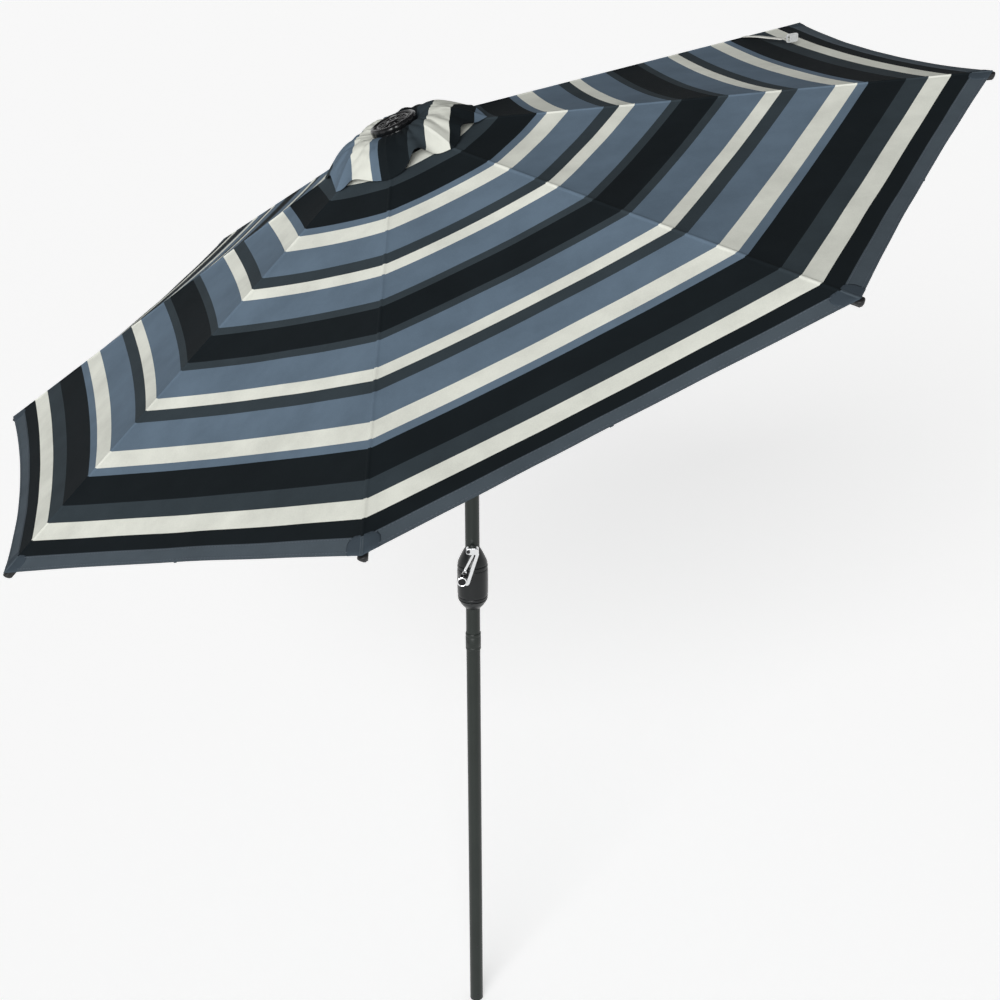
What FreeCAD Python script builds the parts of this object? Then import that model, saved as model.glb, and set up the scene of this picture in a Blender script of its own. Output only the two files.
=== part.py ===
# Tilting beach umbrella, standing on its foot: origin at the centre of the foot's bottom face, +Z up,
# the mast leans towards -X about a knuckle whose pin lies along Y. Lengths are in millimetres.
import FreeCAD, Part
import Sketcher
import math
import os
import re

doc = FreeCAD.newDocument("beach_umbrella")
sheet = doc.addObject("Spreadsheet::Sheet", "Dimensions")

DIMS = {
    # pole
    "pole_radius": 19.0, "pole_wall": 1.4, "foot_height": 6.0, "foot_plug_height": 30.0,
    "joint_height": 1210.0, "coupling_radius": 20.8, "coupling_length": 50.0, "neck_step": 0.3,
    # crank housing
    "housing_bottom": 1311.0, "housing_top": 1484.0, "housing_radius": 40.6, "housing_wall": 3.0,
    # tilt knuckle
    "pivot_height": 2178.0, "tilt_angle": 23.3, "knuckle_radius": 22.0, "knuckle_ear_radius": 16.0,
    "tongue_width": 16.0, "ear_width": 8.0, "tilt_pin_radius": 5.0, "button_radius": 4.5, "button_drop": 25.0,
    # canopy and frame, measured in the leaning mast's own frame
    "apex_height": 446.0, "rib_pitch": 15.4, "canopy_radius": 1300.0, "vent_hole_radius": 130.0,
    "vent_hem_radius": 205.0, "vent_inner_radius": 66.0, "vent_lift": 6.0, "cloth": 1.5, "seam_gap": 0.25,
    "rib_pivot_radius": 34.0, "rib_drop": 10.8, "rib_width": 9.0, "rib_height": 16.0, "rib_wall": 1.0,
    "rib_tip_radius": 1296.0, "lug_width": 6.0, "lug_height": 9.0, "eye_radius": 5.0,
    "pin_radius": 2.0, "bore_radius": 2.08, "stretcher_length": 380.0, "stretcher_width": 8.0,
    "stretcher_height": 13.0, "slot_width": 7.2, "slot_floor": 27.0, "hub_radius": 46.0, "hub_height": 26.0,
    "runner_radius": 44.0, "runner_bore": 19.4, "runner_below": 24.0, "runner_above": 8.0,
    "finial_radius": 58.0, "finial_height": 25.0,
    # crank
    "crank_azimuth": -103.7, "spindle_height": 1495.0, "spindle_radius": 6.0, "arm_plane": 43.5,
    "arm_thickness": 4.0, "crank_hub_width": 34.0, "crank_hub_height": 20.0, "knob_radius": 13.5,
    "knob_length": 26.0, "knob_side": -28.0, "knob_below": -75.0,
}
for row, (alias, value) in enumerate(DIMS.items(), 1):
    sheet.set("A%d" % row, alias)
    sheet.set("B%d" % row, repr(value))
    sheet.setAlias("B%d" % row, alias)
doc.recompute()
WORDS = re.compile(r"\b(%s)\b" % "|".join(sorted(DIMS, key=len, reverse=True)))


def bound(text):
    """The same text with every dimension's name pointed at the sheet."""
    return WORDS.sub(r"Dimensions.\1", str(text))


def place(thing, x=0, y=0, z=0, axis="0; 0; 1", angle=0, outer=""):
    """Gives a solid its placement, inside an outer placement if there is one."""
    own = "placement(vector(%s; %s; %s); rotation(vector(%s); %s))" % (bound(x), bound(y), bound(z), axis,
        bound(angle))
    thing.setExpression("Placement", (bound(outer) + " * " if outer else "") + own)
    return thing


def make(kind, name, **sizes):
    thing = doc.addObject(kind, name)
    thing.Label = name
    for size, text in sizes.items():
        thing.setExpression(size, bound(text))
    return thing


def block(name, x, y, z, dx, dy, dz, outer=""):
    """A box from its low corner and its three sides."""
    return place(make("Part::Box", name, Length=dx, Width=dy, Height=dz), x, y, z, outer=outer)


TURN = {"X": ("0; 1; 0", 90), "Y": ("1; 0; 0", -90), "Z": ("0; 0; 1", 0)}


def rod(name, radius, length, x=0, y=0, z=0, along="Z"):
    """A cylinder from its start point, running along an axis."""
    axis, angle = TURN[along]
    return place(make("Part::Cylinder", name, Radius=radius, Height=length), x, y, z, axis, angle)


def fuse(name, *things):
    """Several solids joined into one."""
    made = doc.addObject("Part::MultiFuse", name)
    made.Label = name
    made.Shapes = list(things)
    return made


def cut(name, base, *tools):
    """The base with every tool taken away."""
    tool = tools[0] if len(tools) == 1 else fuse(name + "_tools", *tools)
    made = doc.addObject("Part::Cut", name)
    made.Label = name
    made.Base, made.Tool = base, tool
    return made


def group(name, *things):
    """Several separate solids as one sub-part."""
    made = doc.addObject("Part::Compound", name)
    made.Label = name
    made.Links = list(things)
    return made


def tube(name, outer, inner, start, length, x=0, y=0, along="Z"):
    """A straight tube. start is where it begins along its own axis."""
    at = {"X": (start, y, 0), "Y": (x, start, 0), "Z": (x, y, start)}[along]
    body = rod(name + "_outside", outer, length, *at, along=along)
    ends = {"X": (1, 0, 0), "Y": (0, 1, 0), "Z": (0, 0, 1)}[along]
    low = ["%s - %d" % (value, step) for value, step in zip(at, ends)]
    return cut(name, body, rod(name + "_inside", inner, "%s + 2" % length, *low, along=along))


def turned(name, points):
    """A solid of revolution about Z from (radius, height) points, every one bound to the sheet."""
    body = doc.addObject("PartDesign::Body", name)
    body.Label = name
    sketch = body.newObject("Sketcher::SketchObject", name + "_profile")
    sketch.Placement = FreeCAD.Placement(FreeCAD.Vector(0, 0, 0),
                                         FreeCAD.Rotation(FreeCAD.Vector(1, 0, 0), 90))
    values = [tuple(eval_number(text) for text in point) for point in points]
    count = len(points)
    for n in range(count):
        a, b = values[n], values[(n + 1) % count]
        sketch.addGeometry(Part.LineSegment(FreeCAD.Vector(a[0], a[1], 0), FreeCAD.Vector(b[0], b[1], 0)),
                           False)
    for n in range(count):
        sketch.addConstraint(Sketcher.Constraint("Coincident", n, 2, (n + 1) % count, 1))
    for n, (point, value) in enumerate(zip(points, values)):
        for way, kind in enumerate(("DistanceX", "DistanceY")):
            if abs(value[way]) < 1e-9:
                sketch.addConstraint(Sketcher.Constraint("PointOnObject", n, 1, -2 if way == 0 else -1))
                continue
            index = sketch.addConstraint(Sketcher.Constraint(kind, -1, 1, n, 1, value[way]))
            sketch.setExpression("Constraints[%d]" % index, bound(point[way]))
    spin = body.newObject("PartDesign::Revolution", name + "_turned")
    spin.Profile = sketch
    spin.ReferenceAxis = (sketch, ["V_Axis"])
    spin.Angle = 360.0
    return body


def eval_number(text):
    """The value of a size text, worked out by the sheet itself."""
    if isinstance(text, (int, float)):
        return float(text)
    sheet.set("D1", "=" + text)
    sheet.recompute()
    value = sheet.get("D1")
    return float(getattr(value, "Value", value))


# Outer placements: the mast's frame, one rib's direction in it, and the frames of a rib and a stretcher.
MAST = "placement(vector(0; 0; pivot_height); rotation(vector(0; 1; 0); 0 - tilt_angle))"
SPIN = " * placement(vector(0; 0; 0); rotation(vector(0; 0; 1); %s))"
PIVOT_Z = "(apex_height - rib_pivot_radius * tan(rib_pitch) - rib_drop / cos(rib_pitch))"
RUNNER_Z = "(%s - 2 * stretcher_length * sin(rib_pitch))" % PIVOT_Z
RIB = " * placement(vector(rib_pivot_radius; 0; %s); rotation(vector(0; 1; 0); rib_pitch))" % PIVOT_Z
STRETCHER = " * placement(vector(rib_pivot_radius; 0; %s); rotation(vector(0; 1; 0); 0 - rib_pitch))" % RUNNER_Z
RIBS = 8


def azimuth(n):
    return 22.5 + 45 * (n - 1)


parts = {}


def node(name, thing, outer=""):
    """Keeps a finished solid under its sub-part name, in its outer frame."""
    if outer:
        thing.setExpression("Placement", bound(outer))
    thing.Label = name
    parts[name] = thing


# ---- pole ----------------------------------------------------------------------------------------
INNER = "(pole_radius - pole_wall)"
node("foot_cap", turned("foot_cap_body", [
    (0, 0), ("pole_radius - 2.5", 0), ("pole_radius", 2.5), ("pole_radius", "foot_height"),
    (INNER + " - 0.1", "foot_height"), (INNER + " - 0.1", "foot_plug_height"), (0, "foot_plug_height")]))
COLLAR_LOW, COLLAR_HIGH = "(joint_height - coupling_length / 2)", "(joint_height + coupling_length / 2)"
# the lower pole has a slightly narrower neck inside the coupling
node("lower_pole", turned("lower_pole_tube", [
    (INNER, "foot_height"), ("pole_radius", "foot_height"), ("pole_radius", COLLAR_LOW + " - 1"),
    ("pole_radius - neck_step", COLLAR_LOW + " - 1"), ("pole_radius - neck_step", "joint_height"),
    (INNER, "joint_height")]))
node("pole_coupling", turned("pole_coupling_body", [
    ("pole_radius + 0.1", COLLAR_LOW), ("coupling_radius - 0.8", COLLAR_LOW),
    ("coupling_radius", COLLAR_LOW + " + 2"),
    ("coupling_radius", COLLAR_HIGH + " - 2"), ("coupling_radius - 0.8", COLLAR_HIGH),
    ("pole_radius + 0.1", COLLAR_HIGH)]))
CRANK = "placement(vector(0; 0; spindle_height); rotation(vector(0; 0; 1); crank_azimuth))"
SOCKET = "(pivot_height - 30)"
plain_pole = tube("middle_pole_tube", "pole_radius", INNER, "joint_height", SOCKET + " - joint_height")
spindle_hole = place(make("Part::Cylinder", "spindle_hole", Radius="spindle_radius + 0.08", Height=40),
                     0, 0, 0, "0; 1; 0", 90, CRANK)
node("middle_pole", cut("middle_pole_body", plain_pole, spindle_hole))

# The crank housing: a hollow bulb made as a front and a rear shell that meet in a plane. Each pair is a
# radius and a share of the housing's height.
BULB = [(20.2, 0.0), (24.0, 0.030), (33.0, 0.080), (38.6, 0.150), (39.9, 0.160), (39.4, 0.172), (40.2, 0.185),
        (39.6, 0.225), (40.6, 0.24), (40.6, 0.66), (39.6, 0.675), (40.1, 0.72), (39.3, 0.735), (39.5, 0.75),
        (36.8, 0.80), (31.5, 0.872), (25.5, 0.95), (20.2, 1.0)]
bulb = [("housing_radius - %.1f" % (40.6 - radius),
         "housing_bottom + %s * (housing_top - housing_bottom)" % share)
        for radius, share in BULB]
bore = "pole_radius + 0.12"
solid_bulb = turned("housing_outside", [(bore, "housing_bottom")] + bulb + [(bore, "housing_top")])
cavity = turned("housing_cavity", [
    (bore, "housing_bottom + 8"), ("housing_radius - 11 - housing_wall", "housing_bottom + 14"),
    ("housing_radius - 1 - housing_wall", "housing_bottom + 34"),
    ("housing_radius - 1 - housing_wall", "housing_top - 50"),
    ("housing_radius - 11 - housing_wall", "housing_top - 22"), (bore, "housing_top - 10")])
for half, start in (("front", 0), ("rear", -60)):
    name = "housing_" + half
    shell = doc.addObject("Part::Common", name + "_shell")
    shell.Base = cut(name + "_hollow", solid_bulb, cavity)
    shell.Tool = block(name + "_side", start, -60, -200, 60, 120, 240, CRANK)
    node(name, shell)

# ---- tilt knuckle --------------------------------------------------------------------------------
KNUCKLE = "placement(vector(0; 0; pivot_height); rotation(vector(0; 0; 1); 0))"
EARS = "(tongue_width / 2 + ear_width + 0.4)"
socket = cut("lower_socket", rod("lower_socket_body", "knuckle_radius", 42, z=-62),
             rod("lower_socket_bore", "pole_radius + 0.1", 33, z=-63))
ears = []
for side, low in (("left", "0 - " + EARS), ("right", "tongue_width / 2 + 0.4")):
    ears.append(block("ear_%s_web" % side, "0 - knuckle_ear_radius", low, -24, "2 * knuckle_ear_radius",
                      "ear_width", 24))
    ears.append(rod("ear_%s_eye" % side, "knuckle_ear_radius", "ear_width", y=low, along="Y"))
lower = cut("lower_knuckle_body", fuse("lower_knuckle_blank", socket, *ears),
            rod("lower_knuckle_bore", "tilt_pin_radius", 60, y=-30, along="Y"),
            rod("button_hole", "button_radius + 0.35", 12, x=-24, z="0 - button_drop", along="X"))
node("tilt_lower_knuckle", lower, KNUCKLE)
pin = fuse("tilt_pin_body", rod("tilt_pin_shaft", "tilt_pin_radius - 0.05", "2 * %s" % EARS,
                                y="0 - " + EARS, along="Y"),
           rod("tilt_pin_head_a", 8, 2.5, y=EARS, along="Y"), rod("tilt_pin_head_b", 8, 2.5,
               y="0 - %s - 2.5" % EARS, along="Y"))
node("tilt_pin", pin, KNUCKLE)
button = group("tilt_button_body", rod("tilt_button_stem", "button_radius", 13, x=-28,
                                       z="0 - button_drop", along="X"))
node("tilt_button", button, KNUCKLE)
tongue = fuse("tongue_blank", rod("tongue_eye", "knuckle_ear_radius", "tongue_width",
                                  y="0 - tongue_width / 2", along="Y"),
              block("tongue_web", "0 - knuckle_ear_radius", "0 - tongue_width / 2", 0,
                    "2 * knuckle_ear_radius", "tongue_width", 24),
              rod("upper_socket_body", "knuckle_radius", 26, z=18.5))
upper = cut("upper_knuckle_body", tongue, rod("tongue_bore", "tilt_pin_radius + 0.03", 40, y=-20, along="Y"),
            rod("upper_socket_bore", "pole_radius + 0.1", 20, z=27))
node("tilt_upper_knuckle", upper, MAST)

# ---- mast head: upper pole, hub with its pins, finial ----------------------------------------------
HUB_LOW = "(%s - hub_height + 6)" % PIVOT_Z
node("upper_pole", tube("upper_pole_tube", "pole_radius", INNER, "27", HUB_LOW + " + 14 - 27"), MAST)


def spokes(name, level, low, high):
    """Eight slots and the eight pins that cross them, for a hub or a runner."""
    slots, pins = [], []
    for n in range(1, RIBS + 1):
        outer = "placement(vector(0; 0; 0); rotation(vector(0; 0; 1); %s))" % azimuth(n)
        slot = make("Part::Box", "%s_slot_%d" % (name, n), Length=40, Width="slot_width",
                    Height="%s - %s + 4" % (high, low))
        place(slot, "slot_floor", "0 - slot_width / 2", low + " - 2", outer=outer)
        slots.append(slot)
        cross = make("Part::Cylinder", "%s_pin_%d" % (name, n), Radius="pin_radius", Height="slot_width + 6")
        place(cross, "rib_pivot_radius", "0 - slot_width / 2 - 3", level, "1; 0; 0", -90, outer)
        pins.append(cross)
        hole = make("Part::Cylinder", "%s_hole_%d" % (name, n), Radius="pin_radius + 0.03",
                    Height="slot_width + 6.2")
        place(hole, "rib_pivot_radius", "0 - slot_width / 2 - 3.1", level, "1; 0; 0", -90, outer)
        slots.append(hole)
    return slots, pins


HUB_HIGH = "(%s + 6)" % PIVOT_Z
hub_slots, hub_pins = spokes("hub", PIVOT_Z, HUB_LOW, HUB_HIGH)
hub_blank = rod("hub_blank", "hub_radius", "hub_height", z=HUB_LOW)
hub_bore = rod("hub_bore", "pole_radius + 0.1", "14.2", z=HUB_LOW + " - 0.1")
node("top_hub", group("top_hub_all", cut("top_hub_body", hub_blank, hub_bore, *hub_slots), *hub_pins), MAST)
FINIAL_LOW = "(apex_height - 8)"
finial_points = [
    (0, HUB_HIGH), (15, HUB_HIGH), (15, FINIAL_LOW), ("finial_radius - 4", FINIAL_LOW),
    ("finial_radius", FINIAL_LOW + " + 4"),
    ("finial_radius", FINIAL_LOW + " + finial_height - 5"), ("finial_radius - 3.5",
        FINIAL_LOW + " + finial_height"),
    ("finial_radius - 9", FINIAL_LOW + " + finial_height"), ("finial_radius - 12",
        FINIAL_LOW + " + finial_height - 4"),
    ("finial_radius * 0.35", FINIAL_LOW + " + finial_height - 3"),
    ("finial_radius * 0.28", FINIAL_LOW + " + finial_height - 1"),
    (0, FINIAL_LOW + " + finial_height - 1")]
node("finial", turned("finial_body", finial_points), MAST)

# ---- runner ----------------------------------------------------------------------------------------
RUNNER_LOW, RUNNER_HIGH = "(%s - runner_below)" % RUNNER_Z, "(%s + runner_above)" % RUNNER_Z
run_slots, run_pins = spokes("runner", RUNNER_Z, "(%s - 8)" % RUNNER_Z, RUNNER_HIGH + " + 2")
run_blank = fuse("runner_blank", rod("runner_head", "runner_radius", "runner_above + 12",
                                     z=RUNNER_Z + " - 12"),
                 rod("runner_sleeve", 26, "runner_below + runner_above", z=RUNNER_LOW))
run_bore = rod("runner_bore_tool", "runner_bore", "runner_below + runner_above + 2", z=RUNNER_LOW + " - 1")
node("runner", group("runner_all", cut("runner_body", run_blank, run_bore, *run_slots), *run_pins), MAST)

# ---- crank, drum and knob: +X points out of the housing, the spindle's axis is at the origin ---------
OUT = "(arm_plane + arm_thickness)"


def bar(name, width, start, end):
    """A straight flat bar of the arm between two points of its plane."""
    y0, z0, y1, z1 = start + end
    long, angle = math.hypot(y1 - y0, z1 - z0), math.degrees(math.atan2(z1 - z0, y1 - y0))
    flat = make("Part::Box", name, Length="arm_thickness", Width=long, Height=width)
    turn = "placement(vector(arm_plane; %s; %s); rotation(vector(1; 0; 0); %s))" % (y0, z0, angle)
    return place(flat, 0, 0, "0 - %s / 2" % width, outer=turn)


arm = fuse(
    "crank_arm_body", rod("spindle", "spindle_radius", OUT + " - 12", x=12, along="X"),
    block("crank_hub", 30, "0 - crank_hub_width / 2", "0 - crank_hub_height / 2", OUT + " - 30",
          "crank_hub_width", "crank_hub_height"),
    bar("rail_wide", 7, (12.5, -6), (-15.5, -97)), bar("rail_thin", 4, (1, -8), (-28, -75)),
    bar("rail_foot", 7, (-14.5, -94), (-28, -75)), rod("arm_boss", 9, "arm_thickness", x="arm_plane",
                                                       y="knob_side", z="knob_below", along="X"),
    rod("arm_stud", 5, "arm_thickness + 3", x="arm_plane", y=-20, z=-57, along="X"),
    rod("knob_shaft", 4, "arm_thickness + 14", x="arm_plane", y="knob_side", z="knob_below", along="X"))
node("crank_arm", arm, CRANK)
drum = fuse("winding_drum_body", rod("drum_core", 8, 22.5, x=-10.5, along="X"),
            rod("drum_rim_a", 11.5, 2, x=-10.5, along="X"),
            rod("drum_rim_b", 11.5, 2, x=10, along="X"))
node("winding_drum", drum, CRANK)
knob = cut("crank_knob_body", rod("knob_outside", "knob_radius", "knob_length", x=OUT + " + 0.4",
                                  y="knob_side", z="knob_below", along="X"),
           rod("knob_bore", 4.07, 14.5, x=OUT + " + 0.3", y="knob_side", z="knob_below", along="X"))
node("crank_knob", knob, CRANK)

# ---- ribs, stretchers and canopy ---------------------------------------------------------------------
GORE_PITCH = "atan(tan(rib_pitch) / cos(22.5))"
RIB_END = "((rib_tip_radius - rib_pivot_radius) / cos(rib_pitch))"


def gore_plate(name, inner, outer, lift, side):
    """A flat trapezium of cloth in the gore's plane, drawn as a wedge that widens away from the hub."""
    spread = "(tan(22.5) * cos(%s))" % GORE_PITCH
    near, far = ["(%s * cos(22.5) / cos(%s))" % (radius, GORE_PITCH) for radius in (inner, outer)]
    plate = make("Part::Wedge", name, Ymin=near, Ymax=far, Zmin="0 - cloth", Zmax=0, Z2min="0 - cloth",
                 Z2max=0)
    low, high = ("Xmin", "Xmax") if side > 0 else ("Xmax", "Xmin")
    sign = "" if side > 0 else "0 - "
    for end, reach in (("", near), ("2", far)):  # from the gore's middle line to the seam over the rib
        for size, text in ((low, "seam_gap"), (high, "(%s * %s - seam_gap)" % (reach, spread))):
            plate.setExpression(size.replace("X", "X" + end), bound(sign + text))
    # the wedge's Y runs outwards down the gore, its X runs clockwise seen from above
    tip = "placement(vector(0; 0; apex_height + %s); rotation(vector(0; 0; 1); %s))" % (lift, 22.5 * side)
    tip += " * placement(vector(0; 0; 0); rotation(vector(0; 1; 0); %s))" % GORE_PITCH
    return place(plate, 0, 0, 0, "0; 0; 1", -90, tip)


for n in range(1, RIBS + 1):
    tag = "_%d" % n
    turn = MAST + SPIN % azimuth(n)
    # rib: a rectangular tube with a solid lug and eye at the hub
    hollow = cut("rib_tube" + tag,
                 block("rib_outside" + tag, 20, "0 - rib_width / 2", "0 - rib_height / 2",
                       RIB_END + " - 20", "rib_width", "rib_height"),
                 block("rib_inside" + tag, 34, "rib_wall - rib_width / 2", "rib_wall - rib_height / 2",
                       RIB_END,
                       "rib_width - 2 * rib_wall", "rib_height - 2 * rib_wall"),
                 rod("rib_side_hole" + tag, "pin_radius + 0.03", 30, x="stretcher_length", y=-15, along="Y"))
    lug = fuse("rib_lug" + tag, hollow, rod("rib_eye" + tag, "eye_radius", "lug_width",
                                            y="0 - lug_width / 2", along="Y"),
               block("rib_neck" + tag, 0, "0 - lug_width / 2", "0 - lug_height / 2", 22, "lug_width",
                     "lug_height"))
    node("rib" + tag, cut("rib_body" + tag, lug, rod("rib_bore" + tag, "bore_radius", 20, y=-10,
                                                     along="Y")), turn + RIB)
    cap = fuse("rib_cap" + tag, block("rib_cap_head" + tag, RIB_END, "0 - rib_width / 2",
                                      "0 - rib_height / 2", 12, "rib_width", "rib_height"),
               block("rib_cap_plug" + tag, RIB_END + " - 22", "rib_wall + 0.1 - rib_width / 2",
                     "rib_wall + 0.1 - rib_height / 2", 23,
                     "rib_width - 2 * rib_wall - 0.2", "rib_height - 2 * rib_wall - 0.2"))
    node("rib_tip" + tag, cap, turn + RIB)
    rivet = fuse("rivet" + tag, rod("rivet_shaft" + tag, "pin_radius", 16, x="stretcher_length", y=-8,
                                    along="Y"),
                 rod("rivet_head_a" + tag, 4.5, 1.6, x="stretcher_length", y=7.5, along="Y"),
                 rod("rivet_head_b" + tag, 4.5, 1.6, x="stretcher_length", y=-9.1, along="Y"))
    node("rib_joint" + tag, rivet, turn + RIB)
    # stretcher: a tube with an eye at the runner and a fork that straddles the rib
    end = "stretcher_length"
    bars = [cut("stretcher_tube" + tag,
                block("stretcher_outside" + tag, 20, "0 - stretcher_width / 2",
                      "0 - stretcher_height / 2", end + " - 54", "stretcher_width", "stretcher_height"),
                block("stretcher_inside" + tag, 34, "rib_wall - stretcher_width / 2",
                      "rib_wall - stretcher_height / 2", end + " - 80",
                      "stretcher_width - 2 * rib_wall", "stretcher_height - 2 * rib_wall")),
            rod("stretcher_eye" + tag, "eye_radius", "lug_width", y="0 - lug_width / 2", along="Y"),
            block("stretcher_neck" + tag, 0, "0 - lug_width / 2", "0 - lug_height / 2", 22, "lug_width",
                  "lug_height"),
            block("stretcher_fork" + tag, end + " - 44", -7, -6, 10, 14, 12)]
    for side, low in (("a", 5), ("b", -7)):
        bars.append(block("fork_arm_%s%s" % (side, tag), end + " - 44", low, -6, 44, 2, 12))
        bars.append(rod("fork_eye_%s%s" % (side, tag), 6, 2, x=end, y=low, along="Y"))
    node("stretcher" + tag,
         cut("stretcher_body" + tag, fuse("stretcher_blank" + tag, *bars),
             rod("stretcher_bore" + tag, "bore_radius", 20, y=-10, along="Y"),
             rod("fork_bore" + tag, "bore_radius", 20, x=end, y=-10, along="Y")), turn + STRETCHER)
    # canopy: half of the gore on each side of the rib, and the same of the vent's small upper canopy
    cloths = [gore_plate("%s_%s%s" % (cloth, side, tag), inner, outer, lift, hand)
              for cloth, inner, outer, lift in (("main", "vent_hole_radius", "canopy_radius", 0),
                                                ("vent", "vent_inner_radius", "vent_hem_radius", "vent_lift"))
              for side, hand in (("left", 1), ("right", -1))]
    node("canopy_panel" + tag, group("canopy" + tag, *cloths), turn)

# The tie strap and its buckle lie on the cloth between ribs 8 and 1, in the plane of that gore.
strap = make("Part::Box", "tie_strap_band", Length=178, Width=20, Height=1.2)
place(strap, 0, -10, 0.6, outer="placement(vector(1107; 245; 0); rotation(vector(0; 0; 1); 108.2))")
buckle = cut("tie_strap_buckle", block("buckle_plate", 1092, 228, 2, 30, 4, 28),
             block("buckle_window", 1099, 226, 8, 16, 8, 16))
GORE = MAST + " * placement(vector(0; 0; apex_height); rotation(vector(0; 1; 0); %s))" % GORE_PITCH
node("tie_strap", group("tie_strap_all", strap, buckle), GORE)

doc.recompute()
bad = [o.Name for o in doc.Objects if {"Invalid", "Error"} & set(o.State)]
if bad:
    raise SystemExit("objects in error: %s" % bad)
os.makedirs("parts", exist_ok=True)
for name, thing in parts.items():
    shape = thing.Shape
    if not shape.isValid() or not shape.Solids:
        raise SystemExit("bad shape: " + name)
    shape.exportStep("parts/%s.step" % name)
    print("%-20s solids %d volume %.0f" % (name, len(shape.Solids), shape.Volume))
print(len(parts), "sub-parts")
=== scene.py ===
import bpy
import bmesh
import math
from mathutils import Matrix, Vector, noise


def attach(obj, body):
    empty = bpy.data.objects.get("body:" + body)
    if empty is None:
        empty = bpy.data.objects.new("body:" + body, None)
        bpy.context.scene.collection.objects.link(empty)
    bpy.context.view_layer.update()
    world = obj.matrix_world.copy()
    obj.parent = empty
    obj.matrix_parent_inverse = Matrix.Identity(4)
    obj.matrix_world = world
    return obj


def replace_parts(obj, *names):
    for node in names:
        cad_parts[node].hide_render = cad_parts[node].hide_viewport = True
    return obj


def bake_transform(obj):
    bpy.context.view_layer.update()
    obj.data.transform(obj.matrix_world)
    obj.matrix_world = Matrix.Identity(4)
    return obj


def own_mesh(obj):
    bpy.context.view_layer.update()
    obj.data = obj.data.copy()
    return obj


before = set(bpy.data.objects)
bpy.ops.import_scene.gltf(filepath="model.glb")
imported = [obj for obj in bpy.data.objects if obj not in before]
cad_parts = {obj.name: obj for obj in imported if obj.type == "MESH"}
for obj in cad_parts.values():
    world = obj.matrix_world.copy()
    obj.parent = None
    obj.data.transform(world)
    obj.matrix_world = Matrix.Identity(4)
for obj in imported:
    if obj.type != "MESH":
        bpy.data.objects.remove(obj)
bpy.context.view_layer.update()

scene = bpy.context.scene
COLLECTION = scene.collection

# ---------------------------------------------------------------- sizes, in metres and degrees
TILT, PIVOT_Z = 23.3, 2.178
APEX, PITCH, RADIUS = 0.446, 15.4, 1.300
DROP = math.tan(math.radians(PITCH))
RIB_PIVOT_R = 0.034
HALF = math.radians(22.5)
POLE_R = 0.019
CLOTH = 0.0012
VENT_HOLE, VENT_HEM, VENT_IN, VENT_TOP = 0.130, 0.212, 0.044, 0.4362
RIB_DROP, RIB_END = 0.0108, 1.296
FINIAL_R, FINIAL_LOW = 0.058, 0.438
CRANK_AZ, SPINDLE_Z = -103.7, 1.495
MAST = Matrix.Translation((0, 0, PIVOT_Z)) @ Matrix.Rotation(math.radians(-TILT), 4, "Y")
MAST_BACK = MAST.inverted()
CRANK = Matrix.Translation((0, 0, SPINDLE_Z)) @ Matrix.Rotation(math.radians(CRANK_AZ), 4, "Z")


def azimuth(n):
    return math.radians(22.5 + 45 * (n - 1))


# ---------------------------------------------------------------- materials
def material(name, color, rough=0.6, metal=0.0, coat=0.0, sheen=0.0, specular=0.5):
    """A named material and its nodes, with its plain values on the shader's own sockets."""
    made = bpy.data.materials.new(name)
    made.use_nodes = True
    tree = made.node_tree
    shader = tree.nodes["Principled BSDF"]
    shader.inputs["Base Color"].default_value = (*color, 1)
    shader.inputs["Roughness"].default_value = rough
    shader.inputs["Metallic"].default_value = metal
    shader.inputs["Coat Weight"].default_value = coat
    shader.inputs["Coat Roughness"].default_value = 0.15
    shader.inputs["Sheen Weight"].default_value = sheen
    shader.inputs["Sheen Roughness"].default_value = 0.6
    shader.inputs["Specular IOR Level"].default_value = specular
    return made, tree, shader


def new(tree, kind, **values):
    made = tree.nodes.new(kind)
    for key, value in values.items():
        if key in made.inputs:
            made.inputs[key].default_value = value
        else:
            setattr(made, key, value)
    return made


def noise_of(tree, scale, detail=3.0, rough=0.5, source=None, stretch=None):
    """A noise texture over the object's own coordinates."""
    if source is None:
        source = new(tree, "ShaderNodeTexCoord").outputs["Object"]
    if stretch:
        mapping = new(tree, "ShaderNodeMapping", Scale=stretch)
        tree.links.new(source, mapping.inputs["Vector"])
        source = mapping.outputs["Vector"]
    made = new(tree, "ShaderNodeTexNoise", Scale=scale, Detail=detail, Roughness=rough)
    tree.links.new(source, made.inputs["Vector"])
    return made.outputs["Fac"]


def vary_color(tree, shader, factor, dark, light):
    """Lets the colour drift between two shades."""
    ramp = new(tree, "ShaderNodeValToRGB")
    ramp.color_ramp.elements[0].position, ramp.color_ramp.elements[1].position = 0.3, 0.7
    ramp.color_ramp.elements[0].color = (*dark, 1)
    ramp.color_ramp.elements[1].color = (*light, 1)
    tree.links.new(factor, ramp.inputs["Fac"])
    tree.links.new(ramp.outputs["Color"], shader.inputs["Base Color"])
    return ramp


def vary_rough(tree, shader, factor, low, high):
    ranged = new(tree, "ShaderNodeMapRange")
    ranged.inputs["To Min"].default_value, ranged.inputs["To Max"].default_value = low, high
    tree.links.new(factor, ranged.inputs["Value"])
    tree.links.new(ranged.outputs["Result"], shader.inputs["Roughness"])


def bump(tree, shader, factor, strength, distance):
    made = new(tree, "ShaderNodeBump", Strength=strength, Distance=distance)
    tree.links.new(factor, made.inputs["Height"])
    tree.links.new(made.outputs["Normal"], shader.inputs["Normal"])
    return made


def shade(color, by):
    return tuple(min(1.0, c * by) for c in color)


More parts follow.
